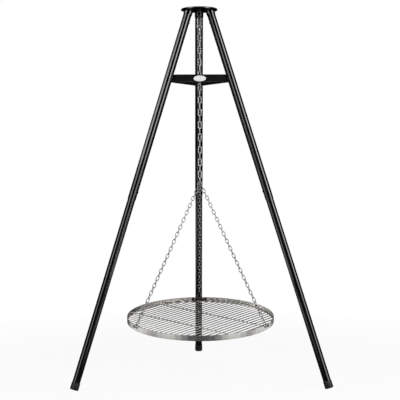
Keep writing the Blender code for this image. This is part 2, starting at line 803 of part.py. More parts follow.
# Heights of the linked wires on the tripod's axis
eye_wire = housing_base - EYE_PLAY - EYE_WIRE - 2 * EYE_RADIUS
hook_top = eye_wire + EYE_WIRE + HOOK_WIRE + HANG
hook_bottom = hook_top - HOOK_LENGTH + 2 * HOOK_WIRE
chain_start = hook_bottom + HOOK_WIRE + HANG + LINK_BITE / 2
chain_end = chain_start - MAIN_PITCH * MAIN_LINKS
chain_top = hook_bottom + HOOK_WIRE + HANG + MAIN_WIRE
ring_top = chain_end + LINK_BITE / 2 + RING_WIRE + HANG
ring_centre = ring_top - RING_RADIUS
bridle_lean = GRATE_RADIUS / (ring_centre - GRATE_HEIGHT)

swivel_joint = empty("swivel_joint", (0, 0, housing_base), tripod)
hook_joint = empty("hook_joint", (0, 0, hook_top), swivel_joint)
gate_joint = empty("gate_joint", hook_gate_hinge(hook_top), hook_joint)
chain_joint = empty("chain_joint", (0, 0, chain_top), hook_joint)
ring_joint = empty("ring_joint", (0, 0, ring_top), chain_joint)
grate_joint = empty("grate_joint", (0, 0, ring_centre), ring_joint)
grate_frame = Matrix.Translation((0, 0, GRATE_HEIGHT)) @ Matrix.Rotation(math.radians(GRATE_TILT), 4, "X")

built_legs = {side: build_leg(side, azimuth) for side, azimuth in LEG_AZIMUTHS.items()}
build_brace(built_legs)
build_eye(housing_base, swivel_joint)
build_snap_hook(hook_top, hook_joint, gate_joint)
chain(
    "main_chain",
    Vector((0, 0, chain_start)),
    Vector((0, 0, chain_end)),
    MAIN_LINKS, Vector((0, 1, 0)), Vector((1, 0, 0)), MAIN_WIRE, MAIN_LINK_ROOM, True, chain_joint,
)
build_ring(ring_centre, ring_joint)
build_grate(grate_joint)
for bridle_side, bridle_azimuth in LEG_AZIMUTHS.items():
    build_bridle(bridle_side, bridle_azimuth, ring_centre, grate_joint)
stand_on_origin()
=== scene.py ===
"""A tripod grill in a plain white studio.

Black powder-coated tube legs stand under a pressed disc, held by a three-sided brace with a bare white
badge. A zinc-plated chain hangs from a swivel eye and a snap hook, and carries a round stainless grate on
three bridle chains. Metres, in the frame of the CAD model.
"""

import math

import bmesh
import bpy
from mathutils import Euler, Matrix, Vector


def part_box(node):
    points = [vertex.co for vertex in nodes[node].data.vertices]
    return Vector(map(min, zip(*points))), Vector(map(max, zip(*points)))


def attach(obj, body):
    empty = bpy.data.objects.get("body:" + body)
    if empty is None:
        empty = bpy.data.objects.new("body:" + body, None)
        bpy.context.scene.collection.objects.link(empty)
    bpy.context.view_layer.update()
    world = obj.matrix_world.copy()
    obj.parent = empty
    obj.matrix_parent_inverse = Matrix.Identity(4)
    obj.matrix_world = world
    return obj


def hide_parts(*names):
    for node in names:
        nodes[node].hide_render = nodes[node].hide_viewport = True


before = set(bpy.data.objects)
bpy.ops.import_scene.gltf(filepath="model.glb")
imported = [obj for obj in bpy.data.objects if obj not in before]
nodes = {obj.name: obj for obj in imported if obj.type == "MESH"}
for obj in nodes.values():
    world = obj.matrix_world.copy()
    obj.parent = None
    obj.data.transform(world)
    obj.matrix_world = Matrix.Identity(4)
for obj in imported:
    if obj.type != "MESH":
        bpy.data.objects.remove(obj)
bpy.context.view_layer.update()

UP = Vector((0, 0, 1))
X_AXIS = Vector((1, 0, 0))
Y_AXIS = Vector((0, 1, 0))

# Camera, about the tripod's axis
CAMERA_DISTANCE = 5.0
CAMERA_HEIGHT = 1.0054
CAMERA_TURN = 0.9
CAMERA_PITCH = 1.91
CAMERA_ROLL = -0.23
LENS_MM = 94.5
SENSOR_MM = 36

# Light: upright softboxes, by turn from straight ahead, low edge, high edge, width and brightness
SOFTBOX_DISTANCE = 2.5
SOFTBOXES = {
    "left_upper_softbox": (-62, 2.2, 3.6, 1.5, 5.6),
    "left_middle_softbox": (-50, 1.2, 2.2, 1.2, 2.6),
    "left_lower_softbox": (-50, 0.0, 1.2, 1.3, 1.8),
    "right_upper_softbox": (52, 1.9, 3.6, 1.4, 6.0),
    "right_middle_softbox": (51, 1.2, 1.9, 1.3, 5.2),
    "right_lower_softbox": (48, 0.0, 1.2, 1.3, 3.0),
}

# Fits and main sizes, as in the CAD model
GAP = 0.0003
HEIGHT = 1.747
HEAD_CIRCLE = 0.0556
FOOT_CIRCLE = 0.6615
DISC_RIM = 0.010
DISC_DEPTH = 0.005
TUBE_RADIUS = 0.0192
SPIGOT_SCREW_DROP = 0.066
JOINT_SCREW_STATION = 0.940
SCREW_REACH = 0.008
TUBE_SCREW = (0.0025, 0.0048, 0.0028)
BRACE_SCREW = (0.003, 0.0062, 0.004)
BRACE_TOP = 1.428
BRACE_DEPTH = 0.036
BRACE_SHEET = 0.002
BADGE_SIZE = (0.058, 0.027, 0.0016)
EYE_CENTRE = 1.7087
EYE_RADIUS = 0.010
EYE_WIRE = 0.003
SHANK_RADIUS = 0.0045
SHANK_HEAD = (0.0090, 0.005)
HOOK_CENTRE = 1.6783
HOOK_HALF = 0.0105
HOOK_STRAIGHT = 0.0165
HOOK_WIRE = 0.003
GATE_HALF = 0.013
GATE_WIRE = 0.0025
GATE_PLAY = 0.0012
MAIN_LINKS = 24
MAIN_WIRE = 0.0023
MAIN_LINK_ROOM = 0.0090
CHAIN_SEATS = (1.6543, 0.9445)
RING_CENTRE = 0.9335
RING_RADIUS = 0.0135
RING_WIRE = 0.0025
BRIDLE_WIRE = 0.0018
BRIDLE_LINK_ROOM = 0.0093
BRIDLE_PITCH = 0.0188
BRIDLE_SEATS = {"left": -0.2, "right": -1.4, "rear": 1.5}
HANG = 0.0006
GRATE_RADIUS = 0.350
GRATE_HEIGHT = 0.288
GRATE_TILT = 7
BAND_WALL = 0.0025
BAND_STEPS = 72
WINDOW_DROP = 0.003
STRIP_WIDTH = 0.012
BAR_RADIUS = 0.0025
BAR_PITCH = 0.025
BAR_DROP = 0.0165
BAR_AZIMUTH = 50
CROSS_OFFSET = 0.105
CROSS_BELOW = 0.0038
END_WELD = (0.0029, 0.0029, 0.0027)
END_WELD_INSET = 0.0018
CROSS_WELD = (0.0029, 0.0029, 0.0016)
RIM_RING_WIRE = 0.002
RIM_RING_RISE = 0.045
RIM_RING_TOP = 0.007
RIM_RING_PLAY = 0.001
RIM_RING_BEND = 0.0028
LEG_AZIMUTHS = {"left": 210, "right": 330, "rear": 90}
LEAN = math.atan2(FOOT_CIRCLE - HEAD_CIRCLE, HEIGHT - DISC_RIM)

scene = bpy.context.scene
disc_low, disc_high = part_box("top_disc")
AXIS = Vector(((disc_low.x + disc_high.x) / 2, (disc_low.y + disc_high.y) / 2, 0))
TO_AXIS = Matrix.Translation(AXIS)
GRATE_SLOPE = Matrix.Rotation(math.radians(GRATE_TILT), 4, "X")
GRATE_FRAME = TO_AXIS @ Matrix.Translation((0, 0, GRATE_HEIGHT)) @ GRATE_SLOPE


def add_camera():
    turn = math.radians(CAMERA_TURN)
    data = bpy.data.cameras.new("camera")
    data.lens = LENS_MM
    data.sensor_width = SENSOR_MM
    camera = bpy.data.objects.new("camera", data)
    scene.collection.objects.link(camera)
    back = Vector((-math.sin(turn), -math.cos(turn), 0))
    place = AXIS + back * CAMERA_DISTANCE + UP * CAMERA_HEIGHT
    aim = Euler((math.radians(90 - CAMERA_PITCH), 0, -turn)).to_matrix().to_4x4()
    roll = Matrix.Rotation(math.radians(CAMERA_ROLL), 4, "Z")
    camera.matrix_world = Matrix.Translation(place) @ aim @ roll
    scene.camera = camera


# Shader nodes
class Nodes:
    """Adds shader nodes to a tree, with their inputs set or linked by socket."""

    def __init__(self, tree):
        self.tree = tree

    def add(self, kind, inputs=None, **settings):
        node = self.tree.nodes.new(kind)
        for name, value in settings.items():
            setattr(node, name, value)
        for name, value in (inputs or {}).items():
            if isinstance(value, bpy.types.NodeSocket):
                self.tree.links.new(value, node.inputs[name])
            else:
                node.inputs[name].default_value = value
        return node

    def math(self, operation, first, second):
        return self.add("ShaderNodeMath", {0: first, 1: second}, operation=operation).outputs[0]

    def spread(self, value, low, high, to_low=0.0, to_high=1.0):
        inputs = {"Value": value, "From Min": low, "From Max": high, "To Min": to_low, "To Max": to_high}
        return self.add("ShaderNodeMapRange", inputs, clamp=True).outputs["Result"]

    def blend(self, amount, first, second):
        node = self.add("ShaderNodeMix", data_type="RGBA")
        for socket, value in ((0, amount), (6, first), (7, second)):
            if isinstance(value, bpy.types.NodeSocket):
                self.tree.links.new(value, node.inputs[socket])
            elif isinstance(value, tuple):
                node.inputs[socket].default_value = (*value, 1)
            else:
                node.inputs[socket].default_value = value
        return node.outputs[2]


# Light
def add_world(fill=0.02, dark=0.008, overhead=0.9, overhead_from=0.60, overhead_to=0.85):
    """White to the camera. In reflections it is dark all round and bright overhead."""
    world = bpy.data.worlds.new("studio")
    scene.world = world
    world.use_nodes = True
    world.node_tree.nodes.clear()
    n = Nodes(world.node_tree)
    direction = n.add("ShaderNodeTexCoord").outputs["Generated"]
    height = n.add("ShaderNodeSeparateXYZ", {0: direction}).outputs["Z"]
    above = n.spread(height, overhead_from, overhead_to, 0.0, overhead)
    shown = n.blend(above, (dark, dark, dark), (1.0, 1.0, 1.0))
    path = n.add("ShaderNodeLightPath")
    lit = n.add("ShaderNodeBackground", {"Color": (1, 1, 1, 1), "Strength": fill})
    mirrored = n.add("ShaderNodeBackground", {"Color": shown, "Strength": 1.0})
    white = n.add("ShaderNodeBackground", {"Color": (1, 1, 1, 1), "Strength": 1.0})
    shiny = n.math("MAXIMUM", path.outputs["Is Glossy Ray"], path.outputs["Is Transmission Ray"])
    unseen = n.add("ShaderNodeMixShader", {0: shiny, 1: lit.outputs[0], 2: mirrored.outputs[0]})
    to_camera = path.outputs["Is Camera Ray"]
    seen = n.add("ShaderNodeMixShader", {0: to_camera, 1: unseen.outputs[0], 2: white.outputs[0]})
    n.add("ShaderNodeOutputWorld", {"Surface": seen.outputs[0]})


def add_softbox(name, turn, low, high, width, brightness):
    """An upright panel, turned about the tripod's axis from straight ahead. It faces the axis."""
    away = Vector((math.sin(math.radians(turn)), -math.cos(math.radians(turn)), 0))
    data = bpy.data.lights.new(name, "AREA")
    data.shape = "RECTANGLE"
    data.size, data.size_y = width, high - low
    data.energy = brightness * math.pi * data.size * data.size_y
    lamp = bpy.data.objects.new(name, data)
    scene.collection.objects.link(lamp)
    place = away * SOFTBOX_DISTANCE + UP * (low + high) / 2
    lamp.matrix_world = TO_AXIS @ frame_from(UP.cross(away), UP, away, place)
    lamp.visible_camera = False


def add_floor(size=20.0, glow=0.93, glow_start=0.9, glow_end=2.2, glint=1.25):
    """Paper that fades to white away from the grill. Reflections show a bright strip on each side."""
    mesh = bpy.data.meshes.new("floor")
    corners = [(-size, -size, 0), (size, -size, 0), (size, size, 0), (-size, size, 0)]
    mesh.from_pydata(corners, [], [(0, 1, 2, 3)])
    floor = bpy.data.objects.new("floor", mesh)
    scene.collection.objects.link(floor)
    material = bpy.data.materials.new("white_floor")
    material.use_nodes = True
    material.node_tree.nodes.clear()
    n = Nodes(material.node_tree)
    path = n.add("ShaderNodeLightPath")
    place = n.add("ShaderNodeNewGeometry").outputs["Position"]
    reach = n.add("ShaderNodeVectorMath", {0: place}, operation="LENGTH").outputs["Value"]
    faded = n.spread(reach, glow_start, glow_end, glow, 1.0)
    seen = n.math("MULTIPLY", path.outputs["Is Camera Ray"], faded)
    shiny = n.math("MAXIMUM", path.outputs["Is Glossy Ray"], path.outputs["Is Transmission Ray"])
    parts = n.add("ShaderNodeSeparateXYZ", {0: place})
    aside = n.add("ShaderNodeMath", {0: parts.outputs["X"]}, operation="ABSOLUTE").outputs[0]
    widened_in_front = n.spread(parts.outputs["Y"], -0.9, -0.6, 0.5, 0.0)
    aside = n.math("ADD", aside, widened_in_front)
    inner_edge = n.spread(aside, 0.8, 1.3, 0.04, 1.0)
    outer_edge = n.spread(aside, 1.6, 1.9, 1.0, 0.02)
    faded_behind = n.spread(parts.outputs["Y"], 0.6, 1.2, 1.0, 0.05)
    strip = n.math("MULTIPLY", n.math("MULTIPLY", inner_edge, outer_edge), faded_behind)
    strip = n.blend(strip, (0.0, 0.0, 0.0), (1.0, 1.0, 1.0))
    shone = n.add("ShaderNodeEmission", {"Color": strip, "Strength": glint})
    paper = n.add("ShaderNodeBsdfPrincipled", {"Base Color": (0.92, 0.92, 0.92, 1), "Roughness": 0.8})
    white = n.add("ShaderNodeEmission", {"Color": (1, 1, 1, 1), "Strength": 1.0})
    camera_view = n.add("ShaderNodeMixShader", {0: seen, 1: paper.outputs[0], 2: white.outputs[0]})
    mix = n.add("ShaderNodeMixShader", {0: shiny, 1: camera_view.outputs[0], 2: shone.outputs[0]})
    n.add("ShaderNodeOutputMaterial", {"Surface": mix.outputs[0]})
    mesh.materials.append(material)


# Effects that several finishes share
def effect(name, inputs, outputs):
    """A node group with named values. Gives its tree, its Nodes, the given values and the results."""
    tree = bpy.data.node_groups.new(name, "ShaderNodeTree")
    for label, value in inputs.items():
        socket = tree.interface.new_socket(name=label, in_out="INPUT", socket_type="NodeSocketFloat")
        socket.default_value = value
    for label in outputs:
        tree.interface.new_socket(name=label, in_out="OUTPUT", socket_type="NodeSocketFloat")
    n = Nodes(tree)
    given = n.add("NodeGroupInput").outputs
    result = n.add("NodeGroupOutput").inputs
    return tree, n, given, result


def noise(n, vector, scale, detail=2.0, roughness=0.5):
    inputs = {"Vector": vector, "Scale": scale, "Detail": detail, "Roughness": roughness}
    return n.add("ShaderNodeTexNoise", inputs).outputs["Fac"]


def powder_skin():
    """The pebbled skin of powder coat or moulded plastic, and the slow waves under it."""
    tree, n, given, result = effect(
        "powder_skin", {"Pebbles per metre": 700.0, "Waves per metre": 45.0}, ("Height", "Cloud")
    )
    spot = n.add("ShaderNodeTexCoord").outputs["Object"]
    pebbles = noise(n, spot, given["Pebbles per metre"], 1.5, 0.45)
    waves = noise(n, spot, given["Waves per metre"], 3.0, 0.6)
    height = n.add("ShaderNodeMath", {0: waves, 1: 1.6, 2: pebbles}, operation="MULTIPLY_ADD").outputs[0]
    n.tree.links.new(height, result["Height"])
    n.tree.links.new(n.spread(waves, 0.3, 0.7), result["Cloud"])
    return tree


def worn_edges():
    """Finds the corners of a piece, broken up so that the mark isn't even."""
    tree, n, given, result = effect("worn_edges", {"Width": 0.0008, "Patchiness": 120.0}, ("Mask",))
    flat = n.add("ShaderNodeNewGeometry").outputs["Normal"]
    rounded = n.add("ShaderNodeBevel", {"Radius": given["Width"]}, samples=4).outputs["Normal"]
    agree = n.add("ShaderNodeVectorMath", {0: flat, 1: rounded}, operation="DOT_PRODUCT").outputs["Value"]
    corner = n.spread(agree, 0.99, 0.80)
    spot = n.add("ShaderNodeTexCoord").outputs["Object"]
    patches = n.spread(noise(n, spot, given["Patchiness"], 3.0, 0.6), 0.40, 0.62)
    n.tree.links.new(n.math("MULTIPLY", corner, patches), result["Mask"])
    return tree


def handling_marks():
    """Faint rubbed places and hairlines that change how sharply a surface shines."""
    tree, n, given, result = effect(
        "handling_marks", {"Smears per metre": 30.0, "Hairlines per metre": 260.0}, ("Smears", "Hairlines")
    )
    spot = n.add("ShaderNodeTexCoord").outputs["Object"]
    smears = n.spread(noise(n, spot, given["Smears per metre"], 4.0, 0.65), 0.35, 0.75)
    slanted = n.add("ShaderNodeMapping", {"Vector": spot, "Rotation": (0.6, 0.9, 0.4), "Scale": (1, 14, 5)})
    lines = noise(n, slanted.outputs[0], given["Hairlines per metre"], 1.0, 0.4)
    n.tree.links.new(smears, result["Smears"])
    n.tree.links.new(n.spread(lines, 0.66, 0.74), result["Hairlines"])
    return tree


def drawn_grain():
    """The streaks of drawn wire or brushed strip, long along local X once the piece is turned by Turn."""
    tree, n, given, result = effect(
        "drawn_grain", {"Turn": 0.0, "Streaks per metre": 1600.0, "Stretch": 0.02}, ("Streaks", "Bands")
    )
    spot = n.add("ShaderNodeTexCoord").outputs["Object"]
    turn = n.add("ShaderNodeCombineXYZ", {"Z": given["Turn"]}).outputs[0]
    laid = n.add("ShaderNodeVectorRotate", {"Vector": spot, "Rotation": turn}, rotation_type="EULER_XYZ")
    ratio = n.add("ShaderNodeCombineXYZ", {"X": given["Stretch"], "Y": 1.0, "Z": 1.0}).outputs[0]
    drawn = n.add("ShaderNodeVectorMath", {0: laid.outputs[0], 1: ratio}, operation="MULTIPLY").outputs[0]
    streaks = noise(n, drawn, given["Streaks per metre"], 2.0, 0.6)
    bands = noise(n, drawn, n.math("MULTIPLY", given["Streaks per metre"], 0.08), 2.0, 0.5)
    n.tree.links.new(n.spread(streaks, 0.3, 0.7), result["Streaks"])
    n.tree.links.new(n.spread(bands, 0.3, 0.7), result["Bands"])
    return tree


POWDER_SKIN = powder_skin()
WORN_EDGES = worn_edges()
HANDLING_MARKS = handling_marks()
DRAWN_GRAIN = drawn_grain()


def finish(name, **constants):
    """A new material, its Nodes and its shader, with the values that are the same all over."""
    material = bpy.data.materials.new(name)
    material.use_nodes = True
    n = Nodes(material.node_tree)
    shader = material.node_tree.nodes["Principled BSDF"]
    for label, value in constants.items():
        shader.inputs[label.replace("_", " ")].default_value = value
    return material, n, shader


def placed(n, tree, **values):
    group = n.add("ShaderNodeGroup", node_tree=tree)
    for label, value in values.items():
        group.inputs[label.replace("_", " ")].default_value = value
    return group.outputs


def bump(n, shader, height, distance):
    node = n.add("ShaderNodeBump", {"Strength": 1.0, "Distance": distance, "Height": height})
    n.tree.links.new(node.outputs["Normal"], shader.inputs["Normal"])


def powder_black(name, tone):
    """Glossy powder coat, rubbed a little greyer at its corners."""
    material, n, shader = finish(name, IOR=1.7)
    skin = placed(n, POWDER_SKIN, Pebbles_per_metre=650.0, Waves_per_metre=35.0)
    edges = placed(n, WORN_EDGES, Width=0.0007, Patchiness=90.0)
    marks = placed(n, HANDLING_MARKS, Smears_per_metre=18.0, Hairlines_per_metre=140.0)
    deep = n.blend(skin["Cloud"], (tone, tone, tone * 1.05), (tone * 1.5, tone * 1.5, tone * 1.55))
    rubbed = n.math("MULTIPLY", edges["Mask"], 0.5)
    colour = n.blend(rubbed, deep, (0.045, 0.045, 0.047))
    n.tree.links.new(colour, shader.inputs["Base Color"])
    shine = n.spread(marks["Smears"], 0.0, 1.0, 0.13, 0.17)
    shine = n.math("ADD", shine, n.math("MULTIPLY", marks["Hairlines"], 0.05))
    n.tree.links.new(shine, shader.inputs["Roughness"])
    bump(n, shader, skin["Height"], 0.00003)
    return material


def moulded_black():
    """Matt plastic of the feet, scuffed at its corners."""
    material, n, shader = finish("moulded_black", IOR=1.46)
    skin = placed(n, POWDER_SKIN, Pebbles_per_metre=1600.0, Waves_per_metre=60.0)
    edges = placed(n, WORN_EDGES, Width=0.0010, Patchiness=160.0)
    marks = placed(n, HANDLING_MARKS, Smears_per_metre=40.0, Hairlines_per_metre=300.0)
    deep = n.blend(skin["Cloud"], (0.010, 0.010, 0.010), (0.016, 0.016, 0.016))
    scuffed = n.math("MULTIPLY", edges["Mask"], 0.6)
    n.tree.links.new(n.blend(scuffed, deep, (0.05, 0.05, 0.048)), shader.inputs["Base Color"])
    n.tree.links.new(n.spread(marks["Smears"], 0.0, 1.0, 0.48, 0.62), shader.inputs["Roughness"])
    bump(n, shader, skin["Height"], 0.00005)
    return material


def zinc_plate(name, bright, rough=(0.30, 0.42)):
    """Plating that is a little blue and a little gold in patches, and duller where it is smeared."""
    material, n, shader = finish(name, Metallic=1.0)
    skin = placed(n, POWDER_SKIN, Pebbles_per_metre=2600.0, Waves_per_metre=240.0)
    marks = placed(n, HANDLING_MARKS, Smears_per_metre=160.0, Hairlines_per_metre=900.0)
    cool = (bright * 0.93, bright * 0.96, bright)
    warm = (bright, bright * 0.97, bright * 0.90)
    tint = n.blend(skin["Cloud"], cool, warm)
    dull = (bright * 0.55, bright * 0.56, bright * 0.57)
    colour = n.blend(n.math("MULTIPLY", marks["Smears"], 0.45), tint, dull)
    n.tree.links.new(colour, shader.inputs["Base Color"])
    n.tree.links.new(n.spread(marks["Smears"], 0.0, 1.0, *rough), shader.inputs["Roughness"])
    bump(n, shader, skin["Height"], 0.000003)
    return material


def brushed_stainless(name, turn, bright, stretch=0.02):
    """Drawn or brushed steel, with fine streaks along it and a faint warm cast in places."""
    material, n, shader = finish(name, Metallic=1.0)
    grain = placed(n, DRAWN_GRAIN, Turn=turn, Streaks_per_metre=1800.0, Stretch=stretch)
    marks = placed(n, HANDLING_MARKS, Smears_per_metre=22.0, Hairlines_per_metre=200.0)
    skin = placed(n, POWDER_SKIN, Pebbles_per_metre=900.0, Waves_per_metre=14.0)
    light = (bright, bright * 0.975, bright * 0.94)
    shade = (bright * 0.86, bright * 0.84, bright * 0.81)
    colour = n.blend(n.math("MULTIPLY", grain["Bands"], 0.55), light, shade)
    warm = (bright * 0.80, bright * 0.77, bright * 0.73)
    colour = n.blend(n.math("MULTIPLY", skin["Cloud"], 0.30), colour, warm)
    n.tree.links.new(colour, shader.inputs["Base Color"])
    shine = n.spread(grain["Streaks"], 0.0, 1.0, 0.20, 0.32)
    shine = n.math("ADD", shine, n.math("MULTIPLY", marks["Smears"], 0.08))
    n.tree.links.new(shine, shader.inputs["Roughness"])
    bump(n, shader, grain["Streaks"], 0.000001)
    return material


def black_oxide():
    """Hot blackened steel of the hanger lugs, with a brown cast and bare corners."""
    material, n, shader = finish("black_oxide", Metallic=0.6)
    skin = placed(n, POWDER_SKIN, Pebbles_per_metre=1100.0, Waves_per_metre=110.0)
    edges = placed(n, WORN_EDGES, Width=0.0006, Patchiness=300.0)
    marks = placed(n, HANDLING_MARKS, Smears_per_metre=90.0, Hairlines_per_metre=500.0)
    deep = n.blend(skin["Cloud"], (0.020, 0.019, 0.018), (0.042, 0.034, 0.028))
    n.tree.links.new(n.blend(edges["Mask"], deep, (0.22, 0.21, 0.20)), shader.inputs["Base Color"])
    n.tree.links.new(n.spread(marks["Smears"], 0.0, 1.0, 0.42, 0.60), shader.inputs["Roughness"])
    bump(n, shader, skin["Height"], 0.00004)
    return material


def glossy_white():
    """Bare white enamel of the badge."""
    material, n, shader = finish("glossy_white", IOR=1.5)
    skin = placed(n, POWDER_SKIN, Pebbles_per_metre=500.0, Waves_per_metre=60.0)
    marks = placed(n, HANDLING_MARKS, Smears_per_metre=70.0, Hairlines_per_metre=400.0)
    colour = n.blend(skin["Cloud"], (0.80, 0.80, 0.80), (0.84, 0.84, 0.835))
    n.tree.links.new(colour, shader.inputs["Base Color"])
    n.tree.links.new(n.spread(marks["Smears"], 0.0, 1.0, 0.16, 0.26), shader.inputs["Roughness"])
    bump(n, shader, skin["Height"], 0.00001)
    return material


POWDER_BLACK = powder_black("powder_black", tone=0.001)
# The brace uses the legs' black powder coat, made lighter: painted light standing in for the light that
# falls on its front flange.
BRACE_LIT_BLACK = powder_black("brace_lit_black", tone=0.007)
MOULDED_BLACK = moulded_black()
ZINC_PLATE = zinc_plate("zinc_plate", bright=0.80)
SCREW_ZINC = zinc_plate("screw_zinc", bright=0.52, rough=(0.30, 0.46))
BRIDLE_ZINC = zinc_plate("bridle_zinc", bright=0.46)
BAND_STAINLESS = brushed_stainless("band_stainless", 0.0, bright=0.88, stretch=0.05)
BAR_STAINLESS = brushed_stainless("bar_stainless", -math.radians(BAR_AZIMUTH), bright=0.86)
BLACK_OXIDE = black_oxide()
GLOSSY_WHITE = glossy_white()


# Shapes
class Shape:
    """Corner points and faces gathered for one piece."""

    def __init__(self):
        self.points = []
        self.faces = []

    def add(self, points, faces, place=None):
        start = len(self.points)
        self.points += [place @ point for point in points] if place else list(points)
        self.faces += [tuple(start + i for i in face) for face in faces]
        return self


def show(name, mesh, material, slot, body, *replaced, sharp=40):
    """A visible piece, its finish, the body that it moves with and the CAD nodes that it stands for."""
    mesh.materials.clear()
    mesh.materials.append(material)
    mesh.shade_smooth()
    mesh.set_sharp_from_angle(angle=math.radians(sharp))
    piece = bpy.data.objects.new(name, mesh)
    scene.collection.objects.link(piece)
    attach(piece, body)
    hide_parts(*replaced)
    return piece


def shape_mesh(name, shape):
    mesh = bpy.data.meshes.new(name)
    mesh.from_pydata(shape.points, [], shape.faces)
    solid = bmesh.new()
    solid.from_mesh(mesh)
    bmesh.ops.recalc_face_normals(solid, faces=solid.faces)
    solid.to_mesh(mesh)
    solid.free()
    return mesh


def turned(profile, steps):
    """A profile of (radius, height), or (radius, height, 6) for a six-sided ring, turned about Z."""
    points = []
    rings = []
    for radius, height, *corners in profile:
        if radius == 0:
            rings.append([len(points)])
            points.append(Vector((0, 0, height)))
            continue
        ring = []
        for i in range(steps):
            turn = 2 * math.pi * i / steps
            reach = radius
            if corners:
                side = 2 * math.pi / corners[0]
                reach = radius * math.cos(side / 2) / math.cos((turn + side / 2) % side - side / 2)
            ring.append(len(points))
            points.append(Vector((reach * math.cos(turn), reach * math.sin(turn), height)))
        rings.append(ring)
    faces = []
    for upper, lower in zip(rings, rings[1:]):
        for i in range(steps):
            j = (i + 1) % steps
            start = [upper[i % len(upper)], lower[i % len(lower)]]
            end = [lower[j % len(lower)], upper[j % len(upper)]]
            faces.append(tuple(dict.fromkeys(start + end)))
    return points, faces


def wire(path, radius, sides=12, closed=False):
    """Round wire along a path. The radius is one value, or one for each point."""
    count = len(path)
    radii = radius if isinstance(radius, list) else [radius] * count
    tangents = []
    for i in range(count):
        before = path[i - 1] if closed or i else path[0]
        after = path[(i + 1) % count] if closed or i < count - 1 else path[-1]
        tangents.append((after - before).normalized())
    side = tangents[0].orthogonal().normalized()
    sides_of = []
    for tangent in tangents:
        side = (side - tangent * side.dot(tangent)).normalized()
        sides_of.append(side)
    slip = 0.0
    if closed:
        last = (side - tangents[0] * side.dot(tangents[0])).normalized()
        first = sides_of[0]
        slip = math.atan2(tangents[0].dot(last.cross(first)), last.dot(first))
    points = []
    for i, centre in enumerate(path):
        turned_side = Matrix.Rotation(slip * i / count, 3, tangents[i]) @ sides_of[i]
        other = tangents[i].cross(turned_side)
        for k in range(sides):
            turn = 2 * math.pi * k / sides
            points.append(centre + (turned_side * math.cos(turn) + other * math.sin(turn)) * radii[i])
    faces = []
    for i in range(count if closed else count - 1):
        near, far = i * sides, (i + 1) % count * sides
        for k in range(sides):
            j = (k + 1) % sides
            faces.append((near + k, near + j, far + j, far + k))
    if not closed:
        faces.append(tuple(range(sides)))
        faces.append(tuple((count - 1) * sides + k for k in range(sides)))
    return points, faces


def rod(start, end, radius, sides=12, rounding=0.4):
    """A straight wire with rounded ends."""
    along = (end - start).normalized()
    inset = radius * rounding
    # Share of the inset, and share of the radius there
    stations = [(0, 0.55), (0.25, 0.80), (0.6, 0.95), (1, 1)]
    path = [start + along * inset * far for far, _ in stations]
    path += [end - along * inset * far for far, _ in reversed(stations)]
    radii = [radius * share for _, share in stations]
    return wire(path, radii + radii[::-1], sides)


def ball(centre, axes, sides=10, rows=6):
    """An egg shape about a centre, with its three half sizes."""
    profile = [(math.sin(math.pi * i / rows), math.cos(math.pi * i / rows)) for i in range(rows + 1)]
    profile[0], profile[-1] = (0, 1), (0, -1)
    points, faces = turned(profile, sides)
    return [centre + Vector((p.x * axes[0], p.y * axes[1], p.z * axes[2])) for p in points], faces


def rounded_path(corners, reach, steps=6):
    """A closed path whose corners are rounded off within a reach of each corner."""
    path = []
    count = len(corners)
    for i, corner in enumerate(corners):
        before, after = corners[i - 1] - corner, corners[(i + 1) % count] - corner
        start = corner + before.normalized() * min(reach, before.length * 0.45)
        end = corner + after.normalized() * min(reach, after.length * 0.45)
        for k in range(steps + 1):
            t = k / steps
            path.append(start * (1 - t) ** 2 + corner * 2 * t * (1 - t) + end * t**2)
    return path


def radial(azimuth):
    return Vector((math.cos(math.radians(azimuth)), math.sin(math.radians(azimuth)), 0))


def frame_from(x_axis, y_axis, z_axis, origin):
    frame_matrix = Matrix((x_axis, y_axis, z_axis)).transposed().to_4x4()
    frame_matrix.translation = origin
    return frame_matrix


def leg_frame(azimuth):
    """Local Z runs up the leg from the ground. Local X points in, square to the leg."""
    outward = radial(azimuth)
    along = UP * math.cos(LEAN) - outward * math.sin(LEAN)
    inward = -outward * math.cos(LEAN) - UP * math.sin(LEAN)
    return TO_AXIS @ frame_from(inward, along.cross(inward), along, outward * FOOT_CIRCLE)


def grate_point(radius, azimuth, height):
    return GRATE_FRAME @ (radial(azimuth) * radius + UP * height)


def softened(name, node, material, slot, body, edge, segments=2):
    """A pressed or moulded piece: the CAD node's form with its edges rounded."""
    solid = bmesh.new()
    solid.from_mesh(nodes[node].data)
    bmesh.ops.remove_doubles(solid, verts=solid.verts, dist=1e-5)
    flat, sharp = math.radians(1), math.radians(30)
    bmesh.ops.dissolve_limit(solid, angle_limit=flat, verts=solid.verts, edges=solid.edges)
    edges = [e for e in solid.edges if len(e.link_faces) == 2 and e.calc_face_angle(0) > sharp]
    bmesh.ops.bevel(
        solid, geom=edges, offset=edge, segments=segments, profile=0.5, affect="EDGES", clamp_overlap=True
    )
    mesh = bpy.data.meshes.new(name)
    solid.to_mesh(mesh)
    solid.free()
    return show(name, mesh, material, slot, body, node)


